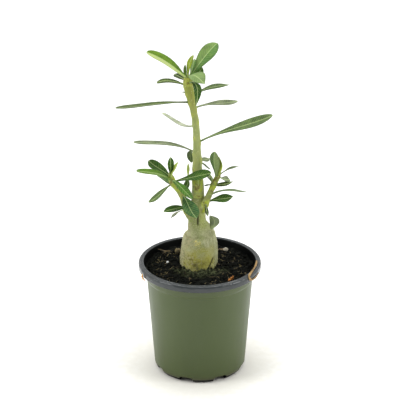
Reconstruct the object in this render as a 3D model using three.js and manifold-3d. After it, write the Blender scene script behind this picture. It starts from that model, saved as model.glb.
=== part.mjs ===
// Potted desert rose (adenium): a young plant with a swollen base in a round nursery pot.
// Millimetres, +Z up. The origin is the centre of the pot's underside, and -Y is the front.
// Headings are degrees in plan: 0 points right (+X), 90 points back (+Y).

import * as THREE from 'three';
import { mergeVertices } from 'three/addons/utils/BufferGeometryUtils.js';
import Module from 'manifold-3d';

const wasm = await Module();
wasm.setup();

// ---------------------------------------------------------------- driving dimensions

const GAP = 0.3; // clearance between two pieces that touch

const POT = {
  height: 107,
  wall: 1.2,
  footRadius: 38.4, // where the foot ring ends, before the rounded corner
  wallRadius: 42.3, // outside of the wall, carried down to height 0
  flare: 0.077, // radius that the wall gains per mm of height
  stepHeight: 91, // the stacking step starts here
  step: 1.7, // how far it stands out
  rimRadius: 57,
  rimWidth: 5.4,
  skirt: 6, // depth of the turned-down lip
  segments: 48,
  notches: 8, // drainage notches round the bottom corner
  notchWidth: 13,
  notchHeight: 5.6,
  notchHeading: -108,
};

const SOIL = {
  level: 100, // mean height of its surface
  mound: 1.6, // how much higher it stands round the plant
  lump: 0.7, // height of the lumps
  bottom: 3.4,
  segments: 48,
};

// The swollen base: height, centre and radius of its sections, from the buried foot up.
const CAUDEX = [
  { z: 62, x: 0, y: 5, r: 8 },
  { z: 72, x: -0.4, y: 5, r: 12.6 },
  { z: 86, x: -0.8, y: 5, r: 16.6 },
  { z: 101, x: -1.2, y: 5, r: 17.5 },
  { z: 114, x: -0.7, y: 5, r: 17.1 },
  { z: 125, x: -0.3, y: 5, r: 16.2 },
  { z: 132, x: 0.3, y: 5, r: 13.9 },
  { z: 137, x: -0.7, y: 4.9, r: 11.2 },
  { z: 144, x: -2.4, y: 4.8, r: 8.7 },
  { z: 152, x: -2.3, y: 4.5, r: 7.7 },
  { z: 162, x: -1.6, y: 4.2, r: 6.6 },
  { z: 170, x: -1.6, y: 4, r: 6.1 },
];
const CAUDEX_SIDES = 24;
const CAUDEX_RINGS = 20;
const BUTTRESS = 0.05; // depth of the soft lobes round the base, as a part of its radius

// Stems: points on the centre line with the stem's radius, from the base of each to its tip.
const MAIN_STEM = [
  { z: 170 + GAP, x: -1.6, y: 4, r: 6 },
  { z: 183, x: -1.8, y: 4, r: 5.4 },
  { z: 197, x: -2.2, y: 4, r: 4.5 },
  { z: 216, x: -2.5, y: 3.6, r: 3.7 },
  { z: 232, x: -2.9, y: 3.4, r: 3.2 },
  { z: 247, x: -4.3, y: 3.2, r: 3.0 },
  { z: 259, x: -6.6, y: 3, r: 3.2 },
  { z: 270, x: -8.9, y: 3, r: 3.9 },
  { z: 279, x: -10.4, y: 3, r: 4.2 },
  { z: 286, x: -11, y: 3, r: 2.6 },
];
const LEFT_STEM = [
  { z: 141, x: -2, y: 3.6, r: 5 },
  { z: 149, x: -6.5, y: 2, r: 4.6 },
  { z: 156, x: -10.6, y: 0.8, r: 4 },
  { z: 163, x: -13.2, y: 0, r: 3.4 },
  { z: 170, x: -15.2, y: -1, r: 2.9 },
  { z: 178, x: -18.8, y: -2, r: 2.8 },
  { z: 185, x: -23.9, y: -2, r: 2.7 },
  { z: 192, x: -26.4, y: -2, r: 2.3 },
  { z: 196, x: -26.8, y: -2, r: 1.4 },
];
const RIGHT_STEM = [
  { z: 158, x: 1, y: 1.5, r: 4.4 },
  { z: 165, x: 4.6, y: -1, r: 3.9 },
  { z: 171, x: 7.2, y: -2, r: 2.9 },
  { z: 178, x: 9.9, y: -3, r: 2.6 },
  { z: 186, x: 13.3, y: -3, r: 2.5 },
  { z: 193, x: 16.2, y: -3, r: 2.2 },
  { z: 197, x: 17.6, y: -3, r: 1.3 },
];
const STEM_SIDES = 12;

// Forms of a blade. A bulge above 1 moves its widest place towards the tip, and a fullness below
// 1 fills its outline out towards the ends.
const FORMS = {
  spoon: { bulge: 1.9, fullness: 0.85 },
  blunt: { bulge: 2.2, fullness: 0.55 },
  paddle: { bulge: 2.6, fullness: 0.5 },
  strap: { bulge: 1.5, fullness: 0.5 },
  lance: { bulge: 1.35, fullness: 1.15 },
  wedge: { bulge: 0.9, fullness: 1.2 },
  round: { bulge: 1.2, fullness: 0.6 },
};

// Leaves: the height at which each leaves its stem, its heading, its rise, its length from the
// stem's axis, its width, how far its first half (arch) and its middle (bow) stand above a
// straight line, how far its middle swings aside (sweep), the roll about its own length, and the
// form of its blade. Single leaves of the main stem come first, then those of its crown.
const leafRow = ([z, heading, rise, length, width, arch, bow, sweep, roll, form]) => {
  const size = { length, width, ...FORMS[form] };
  return { z, heading, rise, arch, bow, sweep, roll, ...size };
};

const MAIN_LEAVES = [
  [262, 203, 4, 73, 11.5, 2, -0.5, 1, 2, 'blunt'],
  [256, 26, 0, 45, 9.5, 2.5, -1.5, 1, 10, 'blunt'],
  [240.5, 149, 7, 36, 5.5, -4, -0.5, 1, -5, 'strap'],
  [222.5, -8, 24, 75, 11.5, 3, -1.5, -0.5, 29, 'paddle'],
  [212, 167, 6, 60, 11, 4, 0.5, 0, -1, 'blunt'],
  [212.5, 133, -56, 14, 6.5, 5.5, 1.5, 0.5, 28, 'spoon'],
  [205.5, 46, -9, 16.5, 6.5, 0.5, -1.5, 0.5, 21, 'spoon'],
  [204, 39, -35, 20, 4.5, 2.5, -1.5, 0, -11, 'spoon'],
  [172, 272, 70, 20, 5.5, -2, 0, 0, 0, 'spoon'],
  [187.5, 193, 61, 18.5, 6, -4.5, -1.5, -1.5, 10, 'spoon'],
  [284, 191, 37, 46, 14.5, -0.5, 3, 0.5, -22, 'strap'],
  [283.5, 33, 42, 42.5, 14.5, -1, 2, 0, 28, 'blunt'],
  [284.5, -8, 76, 23, 6, -0.5, 2, 0, 45, 'strap'],
  [283, 130, 76, 14, 4, 0, -1, 1, 0, 'spoon'],
  [284, 55, 55, 20, 5.5, -1, 0, -0.5, -10, 'spoon'],
  [282, 33, 35, 18.5, 8, 4.5, -2.5, -2.5, 21, 'blunt'],
  [284, -52, 5, 25, 15, 3, 2.5, 0, 14, 'lance'],
  [280.5, -68, -43, 25, 8, 7, 4.5, 2.5, -8, 'wedge'],
  [283, 136, 3, 17.5, 7, -1.5, 1.5, 0.5, -18, 'spoon'],
  [277, 162, 1, 30, 6, -0.5, 3.5, 0, -31, 'paddle'],
  [267.5, 19, 10, 39, 7, 0.5, 2.5, -0.5, 15, 'lance'],
  [270.5, 190, 14, 7, 3.5, 0, 0, 0, 0, 'spoon'],
].map(leafRow);
const LEFT_LEAVES = [
  [188.5, 156, 34, 28, 12.5, 3, -2, -0.5, -15, 'blunt'],
  [186.5, 206, 26, 40, 10.5, 1.5, 2.5, 2, -15, 'strap'],
  [182.5, 152, 19, 20, 12, -1.5, 1, -0.5, 13, 'lance'],
  [191, 120, 88, 20, 7, 0, 1.5, 1, -2, 'spoon'],
  [190, 6, 68, 17, 9.5, 1, 1, -3, 0, 'strap'],
  [185.5, 201, -32, 28.5, 8, 2.5, -2, 1, -15, 'spoon'],
  [189, -43, -25, 28, 10.5, 0.5, 3, -2.5, -3, 'strap'],
  [187, -13, 18, 38, 13, 0, 0, 0, 22, 'blunt'],
  [171, 20, 73, 19, 8.5, 2, -1.5, -1, 11, 'spoon'],
  [172, -64, -18, 31.5, 15, 5, 0.5, -2.5, -3, 'spoon'],
  [158, 220, 12, 28.5, 10.5, 1.5, 2.5, 3.5, -13, 'spoon'],
  [158.5, 146, -37, 22.5, 5, 1, 1, 0.5, 17, 'spoon'],
].map(leafRow);
const RIGHT_LEAVES = [
  [189, -136, 87, 28.5, 11, 2.5, -4.5, 2, 8, 'blunt'],
  [189.5, 38, 81, 22, 9.5, -0.5, 1, -4, -3, 'spoon'],
  [193, 15, 20, 21.5, 6, 0, 1.5, 0.5, -10, 'spoon'],
  [193.5, 48, -29, 19, 8, -0.5, -1, -1.5, 44, 'spoon'],
  [183.5, -17, 21, 21, 5.5, 1.5, -2, -1.5, 32, 'wedge'],
  [173, 26, -5, 40, 7, 2.5, 1.5, -0.5, -5, 'strap'],
  [164.5, -9, 19, 28, 10.5, 2.5, -1, -0.5, 24, 'spoon'],
  [185, 129, -25, 15.5, 5, 1, -0.5, -1, 11, 'spoon'],
  [184.5, 119, 44, 11, 4, 0, 0, 0, 21, 'spoon'],
  [184, 112, 22, 14, 5, 1, 0, 0, 0, 'spoon'],
  [166, -77, -44, 14, 4, 1.5, 2.5, -1, -23, 'spoon'],
].map(leafRow);
const LOW_LEAF = leafRow([137.5, 270, 88, 14.5, 9.4, 0, 1, 3.6, 0, 'round']);
const LOW_LEAF_ROOT = { z: 137.5, x: 10, y: 1.5 }; // on the shoulder of the swollen base

const BLADE = {
  thickness: 0.8,
  petiole: 2, // thickness of the stalk at the stem
  stalk: 0.95, // half width of the stalk
  tip: 0.3, // half width of the blunt tip
  ripple: 0.25, // height of the waves along the edges
  waves: 9, // turn of the waves along the whole blade, in radians
  fold: 0.16, // how far the two halves rise from the midrib, per mm
  longLeaf: 24, // leaves longer than this get four columns of faces, others two
  crowding: 0.6, // how much closer the rows of faces stand towards the tip
};

const EARLY_BOW = 27 / 4; // scales s (1 - s)^2, which peaks at a third of the length, to 1
const EVEN_BOW = 4; // scales s (1 - s), which peaks at the middle, to 1

// Things that lie on the soil.
const PERLITE = { x: -30, y: 7, size: 1.3 };
const BARK_LUMP = { x: -20.3, y: 29.5, size: 3.3 };
const TWIG = { from: [-39.5, 31.5, 103.4], to: [-26.5, 29, 101.7], radius: 0.7 };
const SLIVER = { from: [17, 33], to: [27, 36.5], width: 4, tilt: 0.9 };
const BARK_CHIP = { heading: -48, radius: 41, length: 5.4, height: 6.4, depth: 2.6 };
const STRIP = { width: 2.2, thickness: 0.7, inner: -2, fold: -38, outer: -20 };

// ---------------------------------------------------------------- colours

const COLOURS = {
  pot: { color: 0x4f6340, roughness: 0.42 },
  soil: { color: 0x1d1b17, roughness: 0.95 },
  bark: { color: 0x96966b, roughness: 0.75 },
  stem: { color: 0x7f9140, roughness: 0.55 },
  leaf: { color: 0x4c7a35, roughness: 0.45 },
  wood: { color: 0x9a9078, roughness: 0.85 },
  chip: { color: 0x8a5a30, roughness: 0.85 },
  grain: { color: 0xe6e8e4, roughness: 0.9 },
  straw: { color: 0xb07c3c, roughness: 0.7 },
};

// ---------------------------------------------------------------- helpers

const radians = THREE.MathUtils.degToRad;
const vector = ({ x, y, z }) => new THREE.Vector3(x, y, z);

/** Direction of a heading in plan and a rise above the horizontal, both in degrees. */
function direction(heading, rise = 0) {
  const [turn, lift] = [radians(heading), radians(rise)];
  return new THREE.Vector3(
    Math.cos(lift) * Math.cos(turn),
    Math.cos(lift) * Math.sin(turn),
    Math.sin(lift),
  );
}

/** Geometry from a list of points and a list of triangles of point numbers. */
function geometryOf(points, triangles) {
  const geometry = new THREE.BufferGeometry().setFromPoints(points);
  geometry.setIndex(triangles.flat());
  geometry.computeVertexNormals();
  return geometry;
}

/** Closed body through rings with equal numbers of points, anticlockwise seen from its end. */
function loft(rings) {
  const count = rings[0].length;
  const points = rings.flat();
  const triangles = [];
  for (let ring = 0; ring + 1 < rings.length; ring += 1) {
    for (let k = 0; k < count; k += 1) {
      const a = ring * count + k;
      const b = ring * count + ((k + 1) % count);
      triangles.push([a, b, b + count], [a, b + count, a + count]);
    }
  }
  const last = points.length - count;
  for (let k = 1; k + 1 < count; k += 1) {
    triangles.push([0, k + 1, k], [last, last + k, last + k + 1]);
  }
  return geometryOf(points, triangles);
}

/** A closed geometry as a solid that can be joined and cut. */
function solidOf(geometry) {
  const bare = geometry.clone();
  bare.deleteAttribute('normal');
  bare.deleteAttribute('uv');
  const merged = mergeVertices(bare, 1e-4);
  const triVerts = new Uint32Array(merged.index.array);
  const vertProperties = new Float32Array(merged.attributes.position.array);
  return new wasm.Manifold(new wasm.Mesh({ numProp: 3, vertProperties, triVerts }));
}

/** A joined or cut solid as geometry again. */
function geometryFrom(solid) {
  const { vertProperties, triVerts } = solid.getMesh();
  const geometry = new THREE.BufferGeometry();
  geometry.setAttribute('position', new THREE.BufferAttribute(vertProperties, 3));
  geometry.setIndex(new THREE.BufferAttribute(triVerts, 1));
  geometry.computeVertexNormals();
  return geometry;
}

const join = (geometries) => geometries.map(solidOf).reduce((whole, next) => whole.add(next));

/** Body of revolution about Z from [radius, height] pairs that start and end on the axis. */
function turned(profile, segments) {
  const points = profile.map(([radius, height]) => new THREE.Vector2(radius, height));
  return new THREE.LatheGeometry(points, segments).rotateX(Math.PI / 2);
}

// ---------------------------------------------------------------- pot and soil

const potOuter = (z) => POT.wallRadius + POT.flare * z;
const potInner = (z) => potOuter(z) - POT.wall;

/** Half section of the pot: under the base, up the outside, over the rim and down inside. */
function potProfile() {
  const { height, wall, rimRadius, rimWidth, skirt, stepHeight, step, footRadius } = POT;
  const lipInner = rimRadius - rimWidth;
  const upper = potOuter(stepHeight) + step;
  const raised = 1.8; // the base between its centre and the foot ring clears the ground
  const slope = 1.6;
  const centre = 14;
  const ring = 35;
  return [
    [0, 0],
    [centre, 0],
    [centre + slope, raised],
    [ring - slope, raised],
    [ring, 0],
    [footRadius, 0],
    [potOuter(1.3) - 1.4, 1.3],
    [potOuter(4.5), 4.5],
    [potOuter(stepHeight), stepHeight],
    [upper, stepHeight + 2.5],
    [lipInner + wall, height - skirt],
    [lipInner + wall, height - wall],
    [rimRadius - wall, height - wall],
    [rimRadius - wall, height - skirt],
    [rimRadius, height - skirt],
    [rimRadius, height - 1.4],
    [rimRadius - 0.5, height - 0.4],
    [rimRadius - 1.5, height],
    [lipInner + 0.8, height],
    [lipInner, height - 0.8],
    [lipInner - 0.3, height - skirt],
    [upper - wall, stepHeight + 3],
    [potInner(stepHeight), stepHeight + 0.4],
    [potInner(5), 5],
    [potInner(2.2) - 1.3, 2.2],
    [footRadius - 0.4, wall],
    [ring + 0.6, wall],
    [ring - slope + 0.6, raised + wall],
    [centre + slope - 0.6, raised + wall],
    [centre - 0.6, wall],
    [0, wall],
  ];
}

/** One drainage notch: an arch cut radially through the bottom corner. */
function notch(heading) {
  const { notchWidth, notchHeight, footRadius } = POT;
  const half = notchWidth / 2;
  const round = 2;
  const inner = footRadius - 4.4;
  const arch = new THREE.Shape();
  arch.moveTo(-half, -1);
  arch.lineTo(half, -1);
  arch.lineTo(half, notchHeight - round);
  arch.absarc(half - round, notchHeight - round, round, 0, Math.PI / 2);
  arch.absarc(round - half, notchHeight - round, round, Math.PI / 2, Math.PI);
  const options = { depth: 10, bevelEnabled: false, curveSegments: 4 };
  const cut = new THREE.ExtrudeGeometry(arch, options);
  cut.rotateX(Math.PI / 2).rotateZ(Math.PI / 2); // upright, its depth pointing along +X
  cut.translate(inner, 0, 0);
  return cut.rotateZ(radians(heading));
}

function pot() {
  let body = solidOf(turned(potProfile(), POT.segments));
  for (let k = 0; k < POT.notches; k += 1) {
    const heading = POT.notchHeading + (360 / POT.notches) * k;
    body = body.subtract(solidOf(notch(heading)));
  }
  return geometryFrom(body);
}

/** Height of the soil's surface: a low mound round the plant with lumps. */
function soilHeight(x, y) {
  const distance = Math.hypot(x, y) / POT.rimRadius;
  const lumps = Math.sin(x * 0.42 + 1.3 * Math.sin(y * 0.31)) + Math.sin(y * 0.55 + x * 0.17);
  return SOIL.level + SOIL.mound * (1 - distance) + SOIL.lump * 0.5 * lumps;
}

/** The mix that fills the pot, before the plant's hole is cut. */
function soilBody() {
  const rings = [50, 44, 37, 30, 23, 16, 8];
  const edge = rings[0] - GAP;
  const top = rings.map((radius) => [Math.min(radius, edge), SOIL.level]);
  const { stepHeight } = POT;
  const profile = [
    [0, SOIL.bottom],
    [potInner(SOIL.bottom) - 2, SOIL.bottom],
    [potInner(6) - GAP, 6],
    [potInner(stepHeight) - GAP, stepHeight],
    [potInner(stepHeight) + POT.step - 0.5 - GAP, stepHeight + 4],
    ...top,
    [0, SOIL.level],
  ];
  const geometry = turned(profile, SOIL.segments);
  const place = geometry.attributes.position;
  for (let k = 0; k < place.count; k += 1) {
    if (place.getZ(k) > SOIL.level - 0.5) place.setZ(k, soilHeight(place.getX(k), place.getY(k)));
  }
  return geometry;
}

// ---------------------------------------------------------------- plant

/** Smooth curve through a stem's points, with its radius along the length. */
function stemCurve(points) {
  const line = new THREE.CatmullRomCurve3(points.map(vector));
  const widths = points.map(({ r }, k) => new THREE.Vector2(k / (points.length - 1), r));
  const spline = new THREE.SplineCurve(widths);
  return {
    at: (t) => line.getPoint(t),
    atHeight: (z) => line.getPoint(partAtHeight(line, z)),
    tangent: (t) => line.getTangent(t),
    radius: (t) => spline.getPoint(t).y,
  };
}

/** Part of a rising line at which it reaches a height, by halving. */
function partAtHeight(line, z) {
  let [low, high] = [0, 1];
  for (let k = 0; k < 20; k += 1) {
    const middle = (low + high) / 2;
    if (line.getPoint(middle).z < z) low = middle;
    else high = middle;
  }
  return low;
}

/** Ring of points round a stem at part t of its length. */
function stemRing(stem, t, sides, shape = () => 1, grow = 0) {
  const forward = stem.tangent(t);
  const across = new THREE.Vector3(0, 1, 0).cross(forward).normalize();
  const back = forward.clone().cross(across);
  const centre = stem.at(t);
  return Array.from({ length: sides }, (_, k) => {
    const angle = (2 * Math.PI * k) / sides;
    const radius = stem.radius(t) * shape(angle, t) + grow;
    return centre
      .clone()
      .addScaledVector(across, radius * Math.cos(angle))
      .addScaledVector(back, radius * Math.sin(angle));
  });
}

/** A stem as a solid. */
function stemBody(stem, rings) {
  const steps = Array.from({ length: rings }, (_, k) => k / (rings - 1));
  return loft(steps.map((t) => stemRing(stem, t, STEM_SIDES)));
}

/** Half width of a blade at part s of its length: a thin stalk, widest near the tip. */
function halfWidth(s, { width, bulge, fullness }) {
  const blade = (width / 2) * Math.sin(Math.PI * s ** bulge) ** fullness;
  const least = THREE.MathUtils.lerp(BLADE.stalk, BLADE.tip, s ** 3);
  return Math.max(blade || 0, least);
}

/** One leaf from its root: a closed thin blade, folded at the midrib and bowed along its length. */
function leaf(root, shape) {
  const { heading, rise, length, arch, bow, sweep, roll } = shape;
  const forward = direction(heading, rise);
  const level = direction(heading + 90);
  const side = level.clone().applyAxisAngle(forward, radians(roll));
  const columns = length > BLADE.longLeaf ? 4 : 2;
  const rows = THREE.MathUtils.clamp(Math.round(length / 4), 6, 12);
  const upward = forward.clone().cross(level);
  const centre = (s) =>
    root
      .clone()
      .addScaledVector(forward, length * s)
      .addScaledVector(upward, arch * EARLY_BOW * s * (1 - s) ** 2)
      .addScaledVector(upward, bow * EVEN_BOW * s * (1 - s))
      .addScaledVector(level, sweep * EVEN_BOW * s * (1 - s));
  const upper = [];
  const lower = [];
  for (let row = 0; row <= rows; row += 1) {
    const even = row / rows;
    const s = THREE.MathUtils.lerp(even, Math.sin((Math.PI / 2) * even), BLADE.crowding);
    const ahead = centre(s + 0.01).sub(centre(s - 0.01));
    const normal = ahead.cross(side).normalize();
    const half = halfWidth(s, shape);
    const slim = THREE.MathUtils.smoothstep(s, 0, 0.3);
    const thick = THREE.MathUtils.lerp(BLADE.petiole, BLADE.thickness, slim);
    for (let column = 0; column <= columns; column += 1) {
      const u = (2 * column) / columns - 1;
      const ripple = BLADE.ripple * Math.sin(BLADE.waves * s + 2 * u) * u * u * slim;
      const lift = BLADE.fold * half * Math.abs(u) + ripple;
      const middle = centre(s).addScaledVector(side, u * half).addScaledVector(normal, lift);
      upper.push(middle.clone().addScaledVector(normal, thick / 2));
      lower.push(middle.addScaledVector(normal, -thick / 2));
    }
  }
  return geometryOf([...upper, ...lower], bladeFaces(rows, columns));
}

/** Triangles of a closed blade whose two faces are grids, split the same way on both. */
function bladeFaces(rows, columns) {
  const under = (rows + 1) * (columns + 1);
  const index = (row, column) => row * (columns + 1) + column;
  const faces = [];
  for (let row = 0; row < rows; row += 1) {
    for (let column = 0; column < columns; column += 1) {
      const [a, b] = [index(row, column), index(row + 1, column)];
      const [c, d] = [index(row + 1, column + 1), index(row, column + 1)];
      faces.push([a, b, c], [a, c, d]);
      faces.push([a + under, c + under, b + under], [a + under, d + under, c + under]);
    }
    const [a, b] = [index(row, 0), index(row + 1, 0)];
    faces.push([a, a + under, b + under], [a, b + under, b]);
    const [c, d] = [index(row, columns), index(row + 1, columns)];
    faces.push([c, d + under, c + under], [c, d, d + under]);
  }
  for (let column = 0; column < columns; column += 1) {
    const [a, b] = [index(0, column), index(0, column + 1)];
    faces.push([a, b, b + under], [a, b + under, a + under]);
    const [c, d] = [index(rows, column), index(rows, column + 1)];
    faces.push([c, d + under, d], [c, c + under, d + under]);
  }
  return faces;
}

/** What grows out of the swollen base, cut one gap clear of its surface. */
const clearOfCaudex = (solid) => geometryFrom(solid.subtract(solidOf(caudexBody(GAP))));

/** A leafy stem: the stem with its leaves joined on, cut one gap clear of the swollen base. */
function leafyStem(points, leaves, rings) {
  const stem = stemCurve(points);
  const blades = leaves.map((one) => leaf(stem.atHeight(one.z), one));
  return clearOfCaudex(join([stemBody(stem, rings), ...blades]));
}

/** Shape of the base's sections: soft lobes that fade out upwards and below the soil. */
function lobes(angle, t) {
  const fade = Math.sin(Math.PI * THREE.MathUtils.clamp((t - 0.2) / 0.55, 0, 1));
  return 1 + BUTTRESS * fade * (Math.sin(3 * angle + 0.6) * 0.6 + Math.sin(5 * angle + 2) * 0.4);
}

const caudexStem = stemCurve(CAUDEX);

/** The swollen base, thicker all round by `grow`. */
function caudexBody(grow = 0) {
  const steps = Array.from({ length: CAUDEX_RINGS }, (_, k) => k / (CAUDEX_RINGS - 1));
  return loft(steps.map((t) => stemRing(caudexStem, t, CAUDEX_SIDES, lobes, grow)));
}

/** Soil with the plain hole that the base stands in. */
function soil() {
  const hole = solidOf(caudexBody(GAP).translate(0, 0, -GAP));
  return geometryFrom(solidOf(soilBody()).subtract(hole));
}

/** The small leaf that grows from the shoulder of the base on a stalk of its own. */
function lowLeaf() {
  return clearOfCaudex(solidOf(leaf(vector(LOW_LEAF_ROOT), LOW_LEAF)));
}

// ---------------------------------------------------------------- things on the soil

/** A rough grain: a low-sided ball pushed in and out by a formula, resting on the soil. */
function grain({ x, y, size }, squash = 0.8) {
  const ball = new THREE.IcosahedronGeometry(size, 1);
  const geometry = mergeVertices(ball.deleteAttribute('normal').deleteAttribute('uv'));
  const place = geometry.attributes.position;
  for (let k = 0; k < place.count; k += 1) {
    const bump = 1 + 0.14 * Math.sin(3 * k) + 0.08 * Math.cos(5 * k);
    place.setXYZ(k, place.getX(k) * bump, place.getY(k) * bump, place.getZ(k) * bump * squash);
  }
  geometry.computeBoundingBox();
  const base = geometry.boundingBox.min.z;
  return geometry.translate(x, y, soilHeight(x, y) + SOIL.lump - base + GAP);
}

/** A short round stick between two points. */
function stick({ from, to, radius }) {
  const ends = [from, to].map((place) => new THREE.Vector3(...place));
  const round = new THREE.CylinderGeometry(radius * 0.7, radius, ends[0].distanceTo(ends[1]), 8);
  const along = ends[1].clone().sub(ends[0]).normalize();
  const turn = new THREE.Quaternion().setFromUnitVectors(new THREE.Vector3(0, 1, 0), along);
  const middle = ends[0].clone().add(ends[1]).multiplyScalar(0.5);
  return round.applyQuaternion(turn).translate(middle.x, middle.y, middle.z);
}

/** A flat sliver of wood that widens to a blunt diamond at its outer end. */
function sliver({ from, to, width, tilt }) {
  const ends = [from, to].map(([x, y]) => new THREE.Vector3(x, y, soilHeight(x, y) + 0.9));
  const along = ends[1].clone().sub(ends[0]);
  const length = along.length();
  const outline = new THREE.Shape();
  outline.moveTo(0, -0.5);
  outline.lineTo(length * 0.6, -0.6);
  outline.lineTo(length * 0.85, -width / 2);
  outline.lineTo(length, 0);
  outline.lineTo(length * 0.85, width / 2);
  outline.lineTo(length * 0.5, 0.6);
  outline.lineTo(0, 0.5);
  const plate = new THREE.ExtrudeGeometry(outline, { depth: 1.2, bevelEnabled: false });
  const heading = Math.atan2(along.y, along.x);
  return plate.rotateX(tilt).rotateZ(heading).translate(ends[0].x, ends[0].y, ends[0].z);
}

/** A ridged flake of bark that leans on the inside of the rim. */
function barkChip({ heading, radius, length, height, depth }) {
  const outline = new THREE.Shape();
  outline.moveTo(-length / 2, 0);
  outline.lineTo(length / 2, 0.4);
  outline.lineTo(length * 0.42, height * 0.8);
  outline.lineTo(length * 0.1, height);
  outline.lineTo(-length * 0.3, height * 0.9);
  const flake = new THREE.ExtrudeGeometry(outline, { depth, bevelEnabled: false });
  const place = direction(heading).multiplyScalar(radius);
  const level = soilHeight(place.x, place.y) + GAP;
  return flake.rotateX(1.1).rotateZ(radians(heading + 90)).translate(place.x, place.y, level);
}

/** The dry strip: along the top of the rim, over its edge and back along the skirt. */
function strip() {
  const lift = GAP + STRIP.thickness / 2;
  const top = POT.height + lift;
  const beside = POT.rimRadius + lift;
  const { inner, fold, outer } = STRIP;
  const stations = [
    { heading: inner, radius: POT.rimRadius - POT.rimWidth + 1.2, z: top, tilt: 0 },
    { heading: inner - 12, radius: POT.rimRadius - 4, z: top, tilt: 0 },
    { heading: fold + 12, radius: POT.rimRadius - 3.4, z: top, tilt: 0 },
    { heading: fold + 2.5, radius: POT.rimRadius - 1.2, z: top, tilt: 12 },
    { heading: fold, radius: beside - 0.4, z: top - 0.7, tilt: 50 },
    { heading: fold + 0.6, radius: beside + 0.1, z: POT.height - 2.6, tilt: 88 },
    { heading: fold + 5, radius: beside, z: POT.height - 4.6, tilt: 90 },
    { heading: fold + 11, radius: beside, z: POT.height - 4.8, tilt: 90 },
    { heading: outer, radius: beside, z: POT.height - 3.4, tilt: 90 },
  ];
  const path = new THREE.CatmullRomCurve3(
    stations.map(({ heading, radius, z }) => direction(heading).multiplyScalar(radius).setZ(z)),
  );
  const rings = stations.map(({ heading, tilt }, k) => {
    const t = k / (stations.length - 1);
    const forward = path.getTangent(t);
    const outward = direction(heading, 90 - tilt);
    const across = outward.clone().cross(forward).normalize();
    const face = forward.clone().cross(across);
    const corner = (u, v) =>
      path
        .getPoint(t)
        .addScaledVector(across, (u * STRIP.width) / 2)
        .addScaledVector(face, (v * STRIP.thickness) / 2);
    return [corner(-1, -1), corner(1, -1), corner(1, 1), corner(-1, 1)];
  });
  return loft(rings);
}

// ---------------------------------------------------------------- assembly

const group = new THREE.Group();

function add(name, geometry, look) {
  const material = new THREE.MeshStandardMaterial({ metalness: 0, ...COLOURS[look] });
  const mesh = new THREE.Mesh(geometry, material);
  mesh.name = name;
  group.add(mesh);
}

add('pot', pot(), 'pot');
add('soil', soil(), 'soil');
add('caudex', caudexBody(), 'bark');
add('main_shoot', leafyStem(MAIN_STEM, MAIN_LEAVES, 22), 'stem');
add('left_shoot', leafyStem(LEFT_STEM, LEFT_LEAVES, 16), 'leaf');
add('right_shoot', leafyStem(RIGHT_STEM, RIGHT_LEAVES, 12), 'leaf');
add('low_leaf', lowLeaf(), 'leaf');
add('perlite_grain', grain(PERLITE), 'grain');
add('bark_lump', grain(BARK_LUMP, 0.9), 'chip');
add('twig', stick(TWIG), 'wood');
add('wood_sliver', sliver(SLIVER), 'wood');
add('bark_chip', barkChip(BARK_CHIP), 'chip');
add('fibre_strip', strip(), 'straw');

export default group;
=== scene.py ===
# %% [markdown]
# # A potted desert rose
# A young desert rose is a stem with a swollen base, a few thin branches and long leaves. This
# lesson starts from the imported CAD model, which gives each piece its size and place. Each plain
# solid is then replaced by a finer piece that keeps its form, with the veins, bark and crumbs
# that the solid leaves out.

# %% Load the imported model
import math
import random
from collections import namedtuple

import bmesh
import bpy
from mathutils import Matrix, Quaternion, Vector, noise


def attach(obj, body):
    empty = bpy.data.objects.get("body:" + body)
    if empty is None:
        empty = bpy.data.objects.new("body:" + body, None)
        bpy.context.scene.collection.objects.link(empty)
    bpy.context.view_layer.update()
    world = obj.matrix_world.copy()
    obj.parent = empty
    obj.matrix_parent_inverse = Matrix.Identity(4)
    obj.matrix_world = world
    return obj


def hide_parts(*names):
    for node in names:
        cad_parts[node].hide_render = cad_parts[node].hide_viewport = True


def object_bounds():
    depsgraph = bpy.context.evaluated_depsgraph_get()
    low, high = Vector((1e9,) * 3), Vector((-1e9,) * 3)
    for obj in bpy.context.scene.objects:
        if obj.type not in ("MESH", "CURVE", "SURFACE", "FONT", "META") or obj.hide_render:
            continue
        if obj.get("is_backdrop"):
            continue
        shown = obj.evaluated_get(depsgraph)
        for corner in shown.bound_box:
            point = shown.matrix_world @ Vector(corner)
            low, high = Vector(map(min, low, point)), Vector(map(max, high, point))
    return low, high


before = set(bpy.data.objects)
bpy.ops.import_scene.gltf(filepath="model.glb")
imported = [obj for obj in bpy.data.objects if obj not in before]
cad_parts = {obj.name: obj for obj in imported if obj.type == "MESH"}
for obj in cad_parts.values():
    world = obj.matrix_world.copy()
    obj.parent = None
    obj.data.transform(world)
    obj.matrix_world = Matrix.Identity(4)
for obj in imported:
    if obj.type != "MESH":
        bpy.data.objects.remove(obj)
cad_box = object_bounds()
print("CAD nodes:", ", ".join(sorted(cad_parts)))

# %% [markdown]
# ## The camera
# The photograph looks down on the pot through a long lens, so upright lines stay nearly
# parallel. Distance and tilt come from the rim's ellipse and from how narrow the foot looks.

# %% Set the camera
TILT = math.radians(23.4)
DISTANCE = 1.6467
AIM = Vector((0.0002, 0, 0.168))
SENSOR, LENS = 36, 162  # millimetres


def placed(name, data):
    """A new object in the scene."""
    made = bpy.data.objects.new(name, data)
    bpy.context.scene.collection.objects.link(made)
    return made


camera = placed("camera", bpy.data.cameras.new("camera"))
camera.data.sensor_width = SENSOR
camera.data.lens = LENS
camera.location = AIM + DISTANCE * Vector((0, -math.cos(TILT), math.sin(TILT)))
camera.rotation_euler = (math.pi / 2 - TILT, 0, 0)
bpy.context.scene.camera = camera
print("camera at", [round(value, 3) for value in camera.location])

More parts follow.
